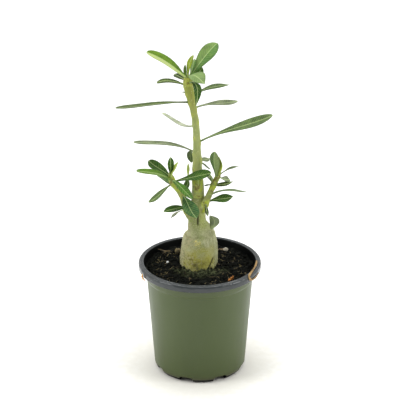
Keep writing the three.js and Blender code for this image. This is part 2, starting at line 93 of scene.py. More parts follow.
# %% [markdown]
# ## The studio
# The picture is high key: a white table that runs out of sight, and light from all round that
# is weaker from the camera's side. A tent of light is a world whose strength depends on the
# direction alone. Three soft boxes shape the pot and give its glossy rim its streaks.

# %% Lay the table and hang the lights
bpy.context.scene.view_settings.view_transform = "Standard"


def soft_box(name, place, size, power):
    """A square area light that faces the plant."""
    light = bpy.data.lights.new(name, "AREA")
    light.size = size
    light.energy = power
    lamp = placed(name, light)
    lamp.location = place
    aim = Vector((0, 0, 0.12)) - Vector(place)
    lamp.rotation_euler = aim.to_track_quat("-Z", "Y").to_euler()


soft_box("left_box", (-1.3, -0.4, 1.0), 0.7, 14)
soft_box("right_box", (1.3, -0.4, 1.0), 0.7, 12)
soft_box("top_box", (0, 0.3, 1.9), 1.2, 16)

sheet = bmesh.new()
bmesh.ops.create_grid(sheet, x_segments=1, y_segments=1, size=6)
table = placed("table", bpy.data.meshes.new("table"))
sheet.to_mesh(table.data)
sheet.free()
table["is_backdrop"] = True

tent = bpy.data.worlds.new("tent")
tent.use_nodes = True
bpy.context.scene.world = tent
sky = tent.node_tree
toward = sky.nodes.new("ShaderNodeTexCoord")
axes = sky.nodes.new("ShaderNodeSeparateXYZ")
shade = sky.nodes.new("ShaderNodeMapRange")
sky.links.new(toward.outputs["Generated"], axes.inputs[0])
sky.links.new(axes.outputs["Y"], shade.inputs["Value"])
for socket, value in (("From Min", -1), ("From Max", 0.2), ("To Min", 0.25), ("To Max", 1)):
    shade.inputs[socket].default_value = value
sky.links.new(shade.outputs["Result"], sky.nodes["Background"].inputs["Strength"])
sky.nodes["Background"].inputs["Color"].default_value = (1, 1, 1, 1)

# %% [markdown]
# ## A small kit for finishes
# Every surface gets a procedural material. Writing out each node and link hides what a finish
# is made of, so this kit adds one node per call. A finish is painted as on paper: a ground
# first, then coat over coat. Patterns read Object coordinates, which are metres in the frame
# of the model, or an attribute of the surface.


# %% The finish kit
def paint(red, green, blue):
    """Blender's linear colour for screen values from 0 to 255."""
    parts = [value / 255 for value in (red, green, blue)]
    linear = [p / 12.92 if p <= 0.04045 else ((p + 0.055) / 1.055) ** 2.4 for p in parts]
    return (*linear, 1)


class Finish:
    """A material in the making, with its constant values set on its shader."""

    def __init__(self, name, **constants):
        self.material = bpy.data.materials.new(name)
        self.material.use_nodes = True
        self.tree = self.material.node_tree
        self.shader = self.tree.nodes["Principled BSDF"]
        self.set(**constants)
        self.place = self.add("ShaderNodeTexCoord").outputs["Object"]
        self.colour = self.relief = None

    def add(self, kind, inputs=(), **settings):
        node = self.tree.nodes.new(kind)
        for name, value in settings.items():
            setattr(node, name, value)
        for name, value in dict(inputs).items():
            self.feed(node.inputs[name], value)
        return node

    def feed(self, socket, value):
        if isinstance(value, bpy.types.NodeSocket):
            self.tree.links.new(value, socket)
        else:
            socket.default_value = value

    def set(self, **sockets):
        for name, value in sockets.items():
            self.feed(self.shader.inputs[name.replace("_", " ")], value)

    def stretched(self, stretch):
        return self.add("ShaderNodeMapping", {"Vector": self.place, "Scale": stretch}).outputs[0]

    def noise(self, scale, detail=3, stretch=(1, 1, 1)):
        """Cloudy noise from 0 to 1. The scale is in waves per metre."""
        inputs = {"Vector": self.stretched(stretch), "Scale": scale, "Detail": detail}
        return self.add("ShaderNodeTexNoise", inputs).outputs["Fac"]

    def cells(self, scale, feature="DISTANCE_TO_EDGE", stretch=(1, 1, 1)):
        """Distance in a field of irregular cells."""
        inputs = {"Vector": self.stretched(stretch), "Scale": scale}
        return self.add("ShaderNodeTexVoronoi", inputs, feature=feature).outputs["Distance"]

    def axes(self, vector=None):
        """The X, Y and Z of the place, or of another vector."""
        return self.add("ShaderNodeSeparateXYZ", {"Vector": vector or self.place}).outputs

    def attribute(self, name, output="Fac"):
        return self.add("ShaderNodeAttribute", attribute_name=name).outputs[output]

    def step(self, value, low, high, start=0, end=1):
        """A smooth step from start to end as the value goes from low to high."""
        inputs = {"Value": value, "From Min": low, "From Max": high, "To Min": start, "To Max": end}
        node = self.add("ShaderNodeMapRange", inputs, interpolation_type="SMOOTHSTEP")
        return node.outputs["Result"]

    def maths(self, operation, *values):
        node = self.add("ShaderNodeMath", operation=operation)
        for socket, value in zip(node.inputs, values):
            self.feed(socket, value)
        return node.outputs[0]

    def minus(self, first, second):
        return self.maths("SUBTRACT", first, second)

    def times(self, *factors):
        """The product of factors, where one given in brackets is a step."""
        values = [self.step(*one) if isinstance(one, tuple) else one for one in factors]
        product = values[0]
        for value in values[1:]:
            product = self.maths("MULTIPLY", product, value)
        return product

    def away(self, value, middle=0.0):
        """How far a value is from a middle, on either side."""
        return self.maths("ABSOLUTE", self.minus(value, middle))

    def distance(self, first, second):
        """The distance from zero that two measures at right angles make."""
        squares = [self.times(value, value) for value in (first, second)]
        return self.maths("SQRT", self.maths("ADD", *squares))

    def blend(self, factor, first, second):
        """The second colour over the first, by the factor. Plain numbers are screen values."""
        node = self.add("ShaderNodeMix", data_type="RGBA")
        self.feed(node.inputs[0], self.times(factor))
        for index, value in ((6, first), (7, second)):
            self.feed(node.inputs[index], paint(*value) if isinstance(value, tuple) else value)
        return node.outputs[2]

    def ground(self, factor, first, second):
        """Starts the colour, as a blend of two."""
        self.colour = self.blend(factor, first, second)
        self.set(Base_Color=self.colour)

    def coat(self, colour, *factors):
        """Lays a colour over the colour so far, by the product of the factors."""
        self.ground(self.times(*factors), self.colour, colour)

    def emboss(self, height, depth):
        """Raises the surface, over what is raised already. A height of 1 is the full depth."""
        inputs = {"Height": height, "Distance": depth, "Strength": 1.0}
        if self.relief:
            inputs["Normal"] = self.relief
        self.relief = self.add("ShaderNodeBump", inputs).outputs["Normal"]
        self.set(Normal=self.relief)


white = Finish("table_top", Roughness=0.9)
right, back, _ = white.axes()
# Painted shade: the table is cream round the pot's foot, where the pot's shade falls, and white
# further out.
wander = white.maths("MULTIPLY_ADD", white.noise(160, 6), 0.05, -0.025)
away = white.maths("ADD", white.distance(right, back), wander)
white.ground((away, 0.045, 0.125), (231.1, 229.1, 221.5), (250.5, 250.5, 249.3))
table.data.materials.append(white.material)
print("the first finish:", white.material.name)

# %% [markdown]
# ## A small kit for pieces
# The CAD source is written in millimetres, so the pieces are too, and they become metres when
# they are finished. Stems, leaves, roots and fibres are all skins over a line, so one helper
# makes them: it starts from a circle and extrudes it from section to section. The face that an
# extrusion leaves behind is deleted, since a face inside a skin spoils its smooth shading.

# %% The piece kit
MM = 0.001


def finish_piece(name, bm, finish, nodes=()):
    """Makes a bmesh in millimetres a piece that stands for the CAD nodes."""
    bmesh.ops.recalc_face_normals(bm, faces=bm.faces)
    bmesh.ops.scale(bm, vec=(MM, MM, MM), verts=bm.verts)
    for face in bm.faces:
        face.smooth = True
    open_edges = sum(not edge.is_manifold for edge in bm.edges)
    print(f"{name}: {len(bm.faces)} faces, {open_edges} open edges")
    mesh = bpy.data.meshes.new(name)
    bm.to_mesh(mesh)
    bm.free()
    mesh.materials.append(finish.material)
    made = placed(name, mesh)
    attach(made, "root")
    if nodes:
        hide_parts(*nodes)


def skin(bm, sections):
    """A closed skin through sections, which are lists of as many points each."""
    start = bmesh.ops.create_circle(bm, segments=len(sections[0]), radius=1, cap_ends=True)
    cap = start["verts"][0].link_faces[0]
    rings = []
    for number, section in enumerate(sections):
        if number:
            left = cap
            grown = bmesh.ops.extrude_face_region(bm, geom=[cap])["geom"]
            cap = next(part for part in grown if isinstance(part, bmesh.types.BMFace))
            if number > 1:
                bmesh.ops.delete(bm, geom=[left], context="FACES_ONLY")
        ring = list(cap.verts)
        for vert, place in zip(ring, section):
            vert.co = place
        rings.append(ring)
    return rings


def turns(sides):
    return [2 * math.pi * side / sides for side in range(sides)]


def even_parts(count):
    return [number / count for number in range(count + 1)]


def oval(middle, wide, tall, sides):
    """The points of a section whose half width and half height are given as vectors."""
    return [middle + wide * math.cos(a) + tall * math.sin(a) for a in turns(sides)]


def heading(degrees, rise=0):
    """A direction from its heading in plan (0 right, 90 back) and its rise."""
    turn, lift = math.radians(degrees), math.radians(rise)
    flat = math.cos(lift)
    return Vector((flat * math.cos(turn), flat * math.sin(turn), math.sin(lift)))


def mix(first, second, part):
    return first + (second - first) * part


def ease(value, low, high):
    """A smooth step from 0 to 1 as the value goes from low to high."""
    part = min(max((value - low) / (high - low), 0), 1)
    return part * part * (3 - 2 * part)


print("kits ready")


# %% [markdown]
# ## The pot's form
# A nursery pot is pressed from thin plastic, so one section turned about its axis gives the
# raised base, the tapered wall, the stacking step and the turned-down lip. Its corners are
# rounded before the turn, because a bevel afterwards would have to find them among thousands
# of edges. The drainage notches are cut out of the bottom corner last.

# %% The pot's section
WALL = 1.2
RIM = 57
LIP_INSIDE = RIM - 5.4
FOOT = 42.3
TAPER = 0.077


def outer_wall(z):
    return FOOT + TAPER * z


def rounded(profile, cut=0.6, steps=3):
    """The profile with each corner replaced by a short curve."""
    points = [Vector((radius, z)) for radius, z in profile]
    smooth = [points[0]]
    for before, corner, after in zip(points, points[1:], points[2:]):
        start, end = (corner.lerp(p, min(cut / (p - corner).length, 0.45)) for p in (before, after))
        smooth += [start.lerp(corner, part).lerp(corner.lerp(end, part), part)
                   for part in even_parts(steps)]
    return [*smooth, points[-1]]


STEP_OUT = outer_wall(91) + 1.7
UNDERSIDE = [(0, 0), (14, 0), (15.6, 1.8), (33.4, 1.8), (35, 0), (38.4, 0),
             (outer_wall(1.3) - 1.4, 1.3)]
OUTSIDE = [(outer_wall(z), z) for z in (4.5, 6, 30, 60, 88, 91)]
LIP = [
    (STEP_OUT, 93.5), (LIP_INSIDE + WALL, 101), (LIP_INSIDE + WALL, 105.8), (RIM - WALL, 105.8),
    (RIM - WALL, 101), (RIM, 101), (RIM, 105.2), (RIM - 0.6, 106.5), (RIM - 1.8, 107),
    (RIM - 2.5, 107), (RIM - 2.9, 106.5), (RIM - 3.3, 106.5), (RIM - 3.7, 107),
    (LIP_INSIDE + 0.8, 107), (LIP_INSIDE, 106.2), (LIP_INSIDE - 0.3, 101),
]
INSIDE = [
    (STEP_OUT - WALL, 94), (outer_wall(91) - WALL, 91.4), (outer_wall(5) - WALL, 5),
    (outer_wall(2.2) - 2.5, 2.2), (38, 1.2), (35.6, 1.2), (34, 3), (15, 3), (13.4, 1.2), (0, 1.2),
]
POT_SECTION = rounded(UNDERSIDE + OUTSIDE + LIP + INSIDE)
print("points of the section:", len(POT_SECTION))


# %% Turn the section and cut the notches
def spun(profile, steps):
    """A body of revolution about the axis of the pot, with its seam and poles closed."""
    bm = bmesh.new()
    verts = [bm.verts.new((radius, 0, z)) for radius, z in profile]
    edges = [bm.edges.new(pair) for pair in zip(verts, verts[1:])]
    bmesh.ops.spin(bm, geom=verts + edges, cent=(0, 0, 0), axis=(0, 0, 1), angle=2 * math.pi,
                   steps=steps, use_merge=True)
    bmesh.ops.remove_doubles(bm, verts=bm.verts, dist=1e-4)
    bmesh.ops.recalc_face_normals(bm, faces=bm.faces)
    return bm


POT_STEPS = 144
NOTCHES = 8
NOTCH_HEADING = -108
NOTCH_SIZE = (10, 13, 8.8)
NOTCH_PLACE = (39, 0, 1.2)
NOTCH_ROUND = 2.4


def notch_cutter():
    """The drainage notches: blocks with rounded upper edges, in a ring."""
    bm = bmesh.new()
    bmesh.ops.create_cube(bm, size=1)
    bmesh.ops.scale(bm, vec=NOTCH_SIZE, verts=bm.verts)
    upper = [edge for edge in bm.edges
             if min(v.co.z for v in edge.verts) > 0
             and edge.verts[0].co.y * edge.verts[1].co.y > 0]
    bmesh.ops.bevel(bm, geom=upper, offset=NOTCH_ROUND, affect="EDGES", segments=4,
                    profile=0.5, material=-1)
    bmesh.ops.translate(bm, vec=NOTCH_PLACE, verts=bm.verts)
    first_turn = Matrix.Rotation(math.radians(NOTCH_HEADING), 3, "Z")
    bmesh.ops.rotate(bm, cent=(0, 0, 0), matrix=first_turn, verts=bm.verts)
    bmesh.ops.spin(bm, geom=[*bm.verts, *bm.edges, *bm.faces], cent=(0, 0, 0), axis=(0, 0, 1),
                   angle=turns(NOTCHES)[-1], steps=NOTCHES - 1, use_duplicate=True)
    return bm


def cut_away(bm, cutter):
    """The first bmesh with the second cut out of it."""
    body, tool = (placed(name, bpy.data.meshes.new(name)) for name in ("body", "tool"))
    for made, source in ((body, bm), (tool, cutter)):
        source.to_mesh(made.data)
        source.free()
    boolean = body.modifiers.new("cut", "BOOLEAN")
    boolean.object = tool
    boolean.solver = "EXACT"
    result = bmesh.new()
    result.from_object(body, bpy.context.evaluated_depsgraph_get())
    for made in (body, tool):
        bpy.data.meshes.remove(made.data)
    return result


pot_form = cut_away(spun(POT_SECTION, POT_STEPS), notch_cutter())
print("the pot has", len(pot_form.faces), "faces")

# %% [markdown]
# ## The pot's finish
# The sheet is green outside and black inside, and the lip shows the black side's gloss. On the
# lip its grey-blue colour is partly painted sheen, lighter than the black inside. The colour
# therefore depends on where a point is: its distance from the axis tells the outer face from the
# inner one, and its height tells the lip. Fine noise keeps the gloss from looking like glass, and
# the lowest edge is browner where it was soiled.

# %% Finish the pot
plastic = Finish("pot_plastic", IOR=1.48)
right, back, height = plastic.axes()
radius = plastic.distance(right, back)
mid_wall = plastic.maths("MULTIPLY_ADD", height, TAPER, (FOOT - WALL / 2) * MM)
beyond = plastic.minus(radius, mid_wall)
beyond = plastic.minus(beyond, plastic.step(height, 0.0905, 0.0935, 0, 0.0016))
flare = plastic.maths("MAXIMUM", plastic.minus(height, 0.094), 0)
beyond = plastic.minus(beyond, plastic.times(flare, 0.16))
is_outside = plastic.step(beyond, 0, 0.0002)
is_lip = plastic.times((height, 0.1003, 0.1008), (radius, 0.0517, 0.0523))
clouds = plastic.noise(28, 4, (1, 1, 0.35))
green = plastic.blend(clouds, (55, 68, 24), (65, 79, 32))
green = plastic.blend((height, 0.001, 0.009, 0.75, 0), green, (62, 56, 38))
plastic.ground(clouds, (8, 9, 8), (16, 18, 18))
plastic.coat(green, is_outside)
# The lip's grey-blue is the black sheet's own colour with painted sheen added, so it is lighter
# than the inside.
plastic.coat(plastic.blend(clouds, (38, 42, 43), (54, 59, 60)), is_lip)
smears = plastic.noise(60, 3, (1, 1, 0.2))
roughness = plastic.minus(plastic.step(smears, 0.3, 0.7, 0.34, 0.46), plastic.times(is_lip, 0.19))
shiny = plastic.step(plastic.maths("MAXIMUM", is_outside, is_lip), 0, 1, 0.12, 0.5)
plastic.set(Roughness=roughness, Specular_IOR_Level=shiny)
plastic.emboss(plastic.noise(35, 2, (1, 1, 0.3)), 0.0006)
plastic.emboss(plastic.times(plastic.noise(110, 3, (1, 1, 1.5)), is_lip), 0.0012)
plastic.emboss(plastic.noise(2500, 2), 0.00002)
finish_piece("pot_shell", pot_form, plastic, ["pot"])


# %% [markdown]
# ## The potting mix
# The mix is near-black crumbs of peat and bark with a few pale bits. Its mass is one turned
# form whose top is pushed up and down by noise. Crumbs, flakes of bark and fibres are strewn
# over it, each with only a few faces, and a seeded draw puts them in the same places each time.

# %% The surface of the mix
SOIL_LEVEL = 100
SOIL_EDGE = 50.8
BASE_AXIS = Vector((-0.6, 5))


def soil_height(x, y):
    """The CAD's low mound, with finer lumps, and a little mix drawn up round the plant."""
    lumps = math.sin(x * 0.42 + 1.3 * math.sin(y * 0.31)) + math.sin(y * 0.55 + x * 0.17)
    mound = SOIL_LEVEL + 1.6 * (1 - math.hypot(x, y) / RIM) + 0.35 * lumps
    rough = noise.fractal(Vector((x, y, 0)) * 0.22, 0.8, 2.1, 5)
    near = (Vector((x, y)) - BASE_AXIS).length
    return mound + 1.1 * rough + 1.3 * ease(near, 24, 16)


SOIL_SECTION = [(0, 3.4), (30, 3.4), (39, 3.6), (outer_wall(6) - 1.5, 6),
                (outer_wall(91) - 1.5, 91), (49.6, 94.6), (50.6, 98.5)]
SOIL_STEPS, TOP_RINGS = 220, 60
soil_top = [(SOIL_EDGE * (1 - part), SOIL_LEVEL) for part in even_parts(TOP_RINGS)]
soil_form = spun([Vector(point) for point in SOIL_SECTION + soil_top], SOIL_STEPS)
for vert in soil_form.verts:
    if vert.co.z > SOIL_LEVEL - 1:
        vert.co.z = soil_height(vert.co.x, vert.co.y)
print("the mix has", len(soil_form.faces), "faces")

# %% Strew crumbs, flakes and fibres
CRUMBS, FLAKES, FIBRES = 1500, 90, 90
CRUMB_SIZES = (0.45, 0.6, 0.8, 1.0, 1.5)
FLAKE_SHAPE = (1, 0.55, 0.28)
POT_ROOM, PLANT_ROOM = 50, 16.5
draw = random.Random(31)


def open_spot(margin=2.0):
    """A place on the mix between the swollen base and the pot's wall."""
    while True:
        spot = Vector([draw.uniform(-POT_ROOM, POT_ROOM) for _ in range(2)])
        if (spot - BASE_AXIS).length > PLANT_ROOM and spot.length < POT_ROOM - margin:
            return spot


def lump(bm, place, size, shape=(1, 1, 1), subdivisions=1):
    """One rough lump: a ball of few faces whose corners are drawn in and out."""
    ball = bmesh.ops.create_icosphere(bm, subdivisions=subdivisions, radius=1)["verts"]
    for vert in ball:
        vert.co *= draw.uniform(0.7, 1.25)
    turn = Matrix.Rotation(draw.uniform(0, 2 * math.pi), 3, heading(draw.uniform(0, 360), 40))
    bmesh.ops.scale(bm, vec=[size * part for part in shape], verts=ball)
    bmesh.ops.rotate(bm, cent=(0, 0, 0), matrix=turn, verts=ball)
    bmesh.ops.translate(bm, vec=place, verts=ball)


def strand(bm, points, radius, sides):
    """A fibre through points, thinner at its ends."""
    points = [Vector(point) for point in points]
    last = len(points) - 1
    sections = []
    for number, point in enumerate(points):
        forward = points[min(number + 1, last)] - points[max(number - 1, 0)]
        turn = forward.to_track_quat("Z", "X")
        thin = radius * (1 - 0.6 * (2 * number / last - 1) ** 2)
        wide, tall = (turn @ Vector(axis) * thin for axis in ((1, 0, 0), (0, 1, 0)))
        sections.append(oval(point, wide, tall, sides))
    skin(bm, sections)


crumbs = bmesh.new()
for number in range(CRUMBS):
    spot = open_spot()
    size = draw.choice(CRUMB_SIZES)
    lump(crumbs, (*spot, soil_height(*spot) + size * 0.25), size)
flakes = bmesh.new()
for number in range(FLAKES):
    spot = open_spot(3)
    size = draw.uniform(0.9, 2.4)
    lump(flakes, (*spot, soil_height(*spot) + 0.5), size, FLAKE_SHAPE)
fibres = bmesh.new()
for number in range(FIBRES):
    spot = open_spot(6)
    aim, reach, bow = draw.uniform(0, 360), draw.uniform(3, 9), draw.uniform(-1.5, 1.5)
    line = []
    for part in even_parts(5):
        arc = math.sin(math.pi * part)
        point = spot + (heading(aim) * reach * part + heading(aim + 90) * bow * arc).xy
        lift = 0.5 + draw.uniform(0, 0.7) * arc
        line.append((*point, soil_height(*point) + lift))
    strand(fibres, line, draw.uniform(0.12, 0.26), 3)
print("crumbs, flakes, fibres:", [len(bm.faces) for bm in (crumbs, flakes, fibres)])

# %% [markdown]
# ## Finishes of the mix
# Damp peat takes light only at its crumbs' edges, so the mass is nearly black and rough. It is
# paler and greener in a patch in front of the plant. Bark, straw and twigs are plainer: two
# colours that noise mixes, so one helper makes such a finish.

# %% Finish the mix
peat = Finish("damp_peat", Roughness=0.95, Specular_IOR_Level=0.1)
peat.ground((peat.noise(160, 5), 0.35, 0.7), (5, 6, 4), (20, 22, 17))
right, back, _ = peat.axes()
back = peat.minus(back, BASE_AXIS.y * MM)
# A paler, greener patch in front of the plant.
front_patch = peat.blend((peat.noise(420, 4), 0.38, 0.66), (28, 33, 19), (96, 102, 72))
peat.coat(front_patch, (back, -0.008, -0.018, 0, 0.85), (peat.distance(right, back), 0.034, 0.021))
# Pale specks: partly pale bits in the mix, partly painted glints where light catches damp crumbs.
peat.coat((64, 66, 50), (peat.noise(900, 2), 0.66, 0.74))
peat.emboss(peat.noise(700, 6), 0.0012)


def two_tone(name, pattern, dark, light, depth=0.0, span=(0.35, 0.65), **constants):
    """A finish of two colours that noise mixes and, to a depth in metres, raises."""
    made = Finish(name, **constants)
    kind = made.noise(*pattern)
    made.ground((kind, *span), dark, light)
    if depth:
        made.emboss(kind, depth)
    return made


flaky = two_tone("bark_bits", (220, 1), (20, 18, 13), (76, 66, 44),
                 Roughness=0.9, Specular_IOR_Level=0.3)
flaky.emboss(flaky.noise(1500, 4), 0.0004)
fibrous = two_tone("dry_fibre", (150, 1), (46, 43, 28), (122, 110, 72), Roughness=0.8)

finish_piece("potting_mix", soil_form, peat, ["soil"])
finish_piece("soil_crumbs", crumbs, peat)
finish_piece("bark_flakes", flakes, flaky)
finish_piece("root_fibres", fibres, fibrous)


# %% [markdown]
# ## Lines that stems follow
# A stem is drawn as a few stations, each with its height, its place in plan and its radius,
# as in the CAD source. The curve through them is read by its part from 0 to 1 or by height,
# because leaves are placed by the height at which they leave the stem.

# %% The stem's line
class Stem:
    """A smooth line through stations that also carries a radius."""

    def __init__(self, stations):
        self.points = [Vector((x, y, z, radius)) for z, x, y, radius in stations]

    def read(self, part):
        """Place and radius as one vector of four, at a part of the line."""
        last = len(self.points) - 1
        first = min(int(part * last), last - 1)
        t = part * last - first
        p1, p2 = self.points[first], self.points[first + 1]
        p0 = self.points[first - 1] if first else 2 * p1 - p2
        p3 = self.points[first + 2] if first + 2 <= last else 2 * p2 - p1
        bend = (2 * p0 - 5 * p1 + 4 * p2 - p3) * t * t + (3 * p1 - p0 - 3 * p2 + p3) * t ** 3
        return 0.5 * (2 * p1 + (p2 - p0) * t + bend)

    def at_height(self, z):
        low, high = 0, 1
        for _ in range(20):
            middle = (low + high) / 2
            low, high = (middle, high) if self.read(middle).z < z else (low, middle)
        return self.read(low).to_3d()

    def forward(self, part):
        ahead, behind = min(part + 0.01, 1), max(part - 0.01, 0)
        return (self.read(ahead) - self.read(behind)).to_3d().normalized()

    def section(self, part, sides, relief):
        """A ring of points round the line, with a relief added to its radius."""
        here = self.read(part)
        forward = self.forward(part)
        across = Vector((0, 1, 0)).cross(forward).normalized()
        back = forward.cross(across)
        ring = []
        for angle in turns(sides):
            out = across * math.cos(angle) + back * math.sin(angle)
            ring.append(here.to_3d() + out * (here.w + relief(here, out, angle, part)))
        return ring


print("a stem is read from 0 at its foot to 1 at its tip")

# %% [markdown]
# ## The swollen base
# The plant stores water in its foot, so its skin is stretched tight: smooth above, with fine
# level wrinkles under the branches, and corky, cracked and lumpy where it meets the mix. A
# fold runs up its right front, where a thick root starts, and a short cleft parts the two
# branches. All of these are reliefs added to the radius of one skin.

# %% Shape the swollen base
BASE_STATIONS = [
    (62, 0, 5, 8), (72, -0.4, 5, 12.6), (86, -0.8, 5, 16.6), (101, -1.2, 5, 17.5),
    (114, -0.7, 5, 17.1), (125, -0.3, 5, 16.2), (132, 0.3, 5, 13.9), (137, -0.7, 4.9, 11.2),
    (144, -2.4, 4.8, 8.7), (152, -2.3, 4.5, 7.7), (162, -1.6, 4.2, 6.6), (170, -1.6, 4, 6.1),
]
BASE_SIDES, BASE_STEPS = 160, 149
CLEFT_HEADING, TOE_HEADING = -85, -88


def gauss(value, width):
    return math.exp(-(value / width) ** 2)


def turn_between(degrees, other):
    """The difference of two headings, from -180 to 180 degrees."""
    return (degrees - other + 180) % 360 - 180


def fold_heading(z):
    """Where the fold stands, which leans as it rises."""
    return mix(-61, -37, (z - 102) / 11)


def grooves(way, z):
    """How deep a point lies in the fold and in the cleft, each from 0 to 1."""
    fold = gauss(turn_between(way, fold_heading(z)), 4.5) * ease(z, 116, 111) * ease(z, 99, 102)
    cleft = gauss(turn_between(way, CLEFT_HEADING), 8) * ease(z, 142, 146) * ease(z, 159, 154)
    return fold, cleft


def base_relief(here, out, angle, part):
    """What is added to the radius of the base, in millimetres."""
    z = here.z
    way = math.degrees(angle)
    place = here.to_3d() + out * here.w
    fade = math.sin(math.pi * min(max((part - 0.2) / 0.55, 0), 1))
    lobes = 0.6 * math.sin(3 * angle + 0.6) + 0.4 * math.sin(5 * angle + 2)
    swell = 0.03 * here.w * fade * lobes
    corky = ease(z, 120, 103)
    rough = noise.fractal(Vector((place.x, place.y, place.z * 0.6)) * 0.25, 0.9, 2.0, 4)
    fine = noise.fractal(place * 0.9, 0.7, 2.2, 3)
    wrinkles = 0.05 * math.sin(z * 2.9 + 1.6 * math.sin(3 * angle)) * gauss(z - 135, 9)
    fold, cleft = grooves(way, z)
    root = 0.6 * gauss(turn_between(way, fold_heading(z) + 24), 17) * ease(z, 118, 104)
    toe = 1.1 * gauss(turn_between(way, TOE_HEADING), 30) * ease(z, 108, 99)
    return (swell + (0.2 + 0.25 * corky) * rough + (0.06 + 0.12 * corky) * fine + wrinkles
            - 1.2 * fold - 1.6 * cleft + root + toe)


base_line = Stem(BASE_STATIONS)
base_form = bmesh.new()
# The groove layer holds how deep each point lies in the fold and the cleft, for painted shade
# there.
groove_shade_layer = base_form.verts.layers.float.new("groove")
parts = even_parts(BASE_STEPS)
rings = skin(base_form, [base_line.section(part, BASE_SIDES, base_relief) for part in parts])
for part, ring in zip(parts, rings):
    z = base_line.read(part).z
    for side, vert in enumerate(ring):
        vert[groove_shade_layer] = max(grooves(360 * side / BASE_SIDES, z))
print("the base has", len(base_form.faces), "faces")

# %% [markdown]
# ## The base's finish
# The skin is grey-olive with a waxy bloom. It is more yellow low in front, tanned on the left
# and scratched pale on the right, and it turns green where the branches start. Cork breaks it
# up near the mix: brown cracks between pale scales. Place sets which of these shows, and noise
# frays the borders between them.

# %% Coat the skin of the base
bark = Finish("waxy_bark", Specular_IOR_Level=0.3)
right, back, height = bark.axes()
clouds = bark.noise(110, 5)
fray = bark.maths("MULTIPLY_ADD", clouds, 0.024, -0.012)
ragged = bark.maths("ADD", height, fray)
aside = bark.maths("ADD", right, fray)
speckle = bark.noise(520, 3)
scratches = bark.noise(560, 3, (1, 1, 0.12))
lines = bark.maths("SINE", bark.times(ragged, 2 * math.pi / 0.0021))

bark.ground((clouds, 0.3, 0.7), (120, 124, 80), (158, 160, 118))
bark.coat((172, 160, 124), (aside, -0.004, -0.012), (speckle, 0.4, 0.65, 0, 0.6))
bark.coat((184, 186, 152), (aside, 0.002, 0.009), (scratches, 0.48, 0.62, 0, 0.4))
bark.coat((124, 138, 76), (bark.away(aside, 0.0005), 0.006, 0.001), (height, 0.112, 0.126, 0, 0.4))
bark.coat((170, 167, 74), (back, 0.001, -0.008), (ragged, 0.129, 0.111),
          (bark.away(aside, 0.001), 0.019, 0.008, 0, 0.9))
bark.coat((128, 138, 76), (ragged, 0.137, 0.150, 0, 0.7))
bark.coat((160, 168, 88), (height, 0.136, 0.148), (right, -0.002, 0.002, 0, 0.6))
bark.coat((206, 190, 104), (lines, 0.0, 0.8, 0, 0.9), (bark.away(right, -0.002), 0.004, 0.002),
          (height, 0.1325, 0.130), (height, 0.1255, 0.128))
bark.coat((110, 106, 60), (bark.noise(750, 3), 0.56, 0.68, 0, 0.5))
bark.coat((194, 192, 154), (bark.noise(850, 3, (1, 1, 1.6)), 0.55, 0.66, 0, 0.45))
print("coats of skin laid over", bark.material.name)

# %% Coat its cork, and paint shade into its grooves
cracks = bark.times((ragged, 0.117, 0.104),
                    (bark.cells(330, stretch=(1, 1, 0.7)), 0.09, 0.02, 0, 0.55))
bark.coat((96, 82, 40), cracks)
scaly = bark.times((aside, -0.002, -0.009), (ragged, 0.126, 0.110))
bark.coat((186, 178, 136), scaly, (speckle, 0.5, 0.6, 0, 0.6))
bark.coat((104, 90, 50), scaly, (speckle, 0.44, 0.34, 0, 0.6))
bark.coat((48, 52, 28), (ragged, 0.106, 0.100, 0, 0.8), (bark.noise(330, 3), 0.62, 0.48))
# Painted shade: darker in the fold and the cleft, where shade falls.
bark.coat((58, 56, 26), (bark.attribute("groove"), 0.25, 0.9, 0, 0.9))
bark.emboss(cracks, -0.0004)
bark.emboss(bark.times(lines, (ragged, 0.118, 0.132)), 0.00012)
bark.emboss(bark.noise(600, 5), 0.0003)
bark.set(Roughness=bark.step(clouds, 0.3, 0.7, 0.5, 0.7))
finish_piece("swollen_base", base_form, bark, ["caudex"])


# %% [markdown]
# ## Stems
# What tells a smooth green stem from a tube is where leaves sit or sat: the skin swells under
# each stalk and keeps a small yellow pad after a leaf falls. Each node is a low bump towards
# one heading, and the same list paints an attribute that the finish reads.

# %% Shape the stems
MAIN_STATIONS = [
    (170.3, -1.6, 4, 6), (183, -1.8, 4, 5.4), (197, -2.2, 4, 4.5), (216, -2.5, 3.6, 3.7),
    (232, -2.9, 3.4, 3.2), (247, -4.3, 3.2, 3.0), (259, -6.6, 3, 3.2), (270, -8.9, 3, 3.9),
    (279, -10.4, 3, 4.2), (286, -11, 3, 2.6),
]
LEFT_STATIONS = [
    (141, -2, 3.6, 5), (149, -6.5, 2, 4.6), (156, -10.6, 0.8, 4), (163, -13.2, 0, 3.4),
    (170, -15.2, -1, 2.9), (178, -18.8, -2, 2.8), (185, -23.9, -2, 2.7),
    (192, -26.4, -2, 2.3), (196, -26.8, -2, 1.4),
]
RIGHT_STATIONS = [
    (158, 1, 1.5, 4.4), (165, 4.6, -1, 3.9), (171, 7.2, -2, 2.9), (178, 9.9, -3, 2.6),
    (186, 13.3, -3, 2.5), (193, 16.2, -3, 2.2), (197, 17.6, -3, 1.3),
]
# Old leaf scars, as height and heading.
MAIN_SCARS = [
    (189, -70), (184, -100), (179, -80), (251, -130), (243, -20), (228, -150), (207, -20),
    (198, -160), (248, 60), (231, 75), (208, 100), (192, 95),
]
LEFT_SCARS = [(178, 90), (175, -110), (164, 70)]
RIGHT_SCARS = [(176, 100), (182, -80), (166, -100)]
STEM_SIDES, RING_GAP = 28, 0.9
NODE_SIZE, NODE_RISE = 2.6, 0.5


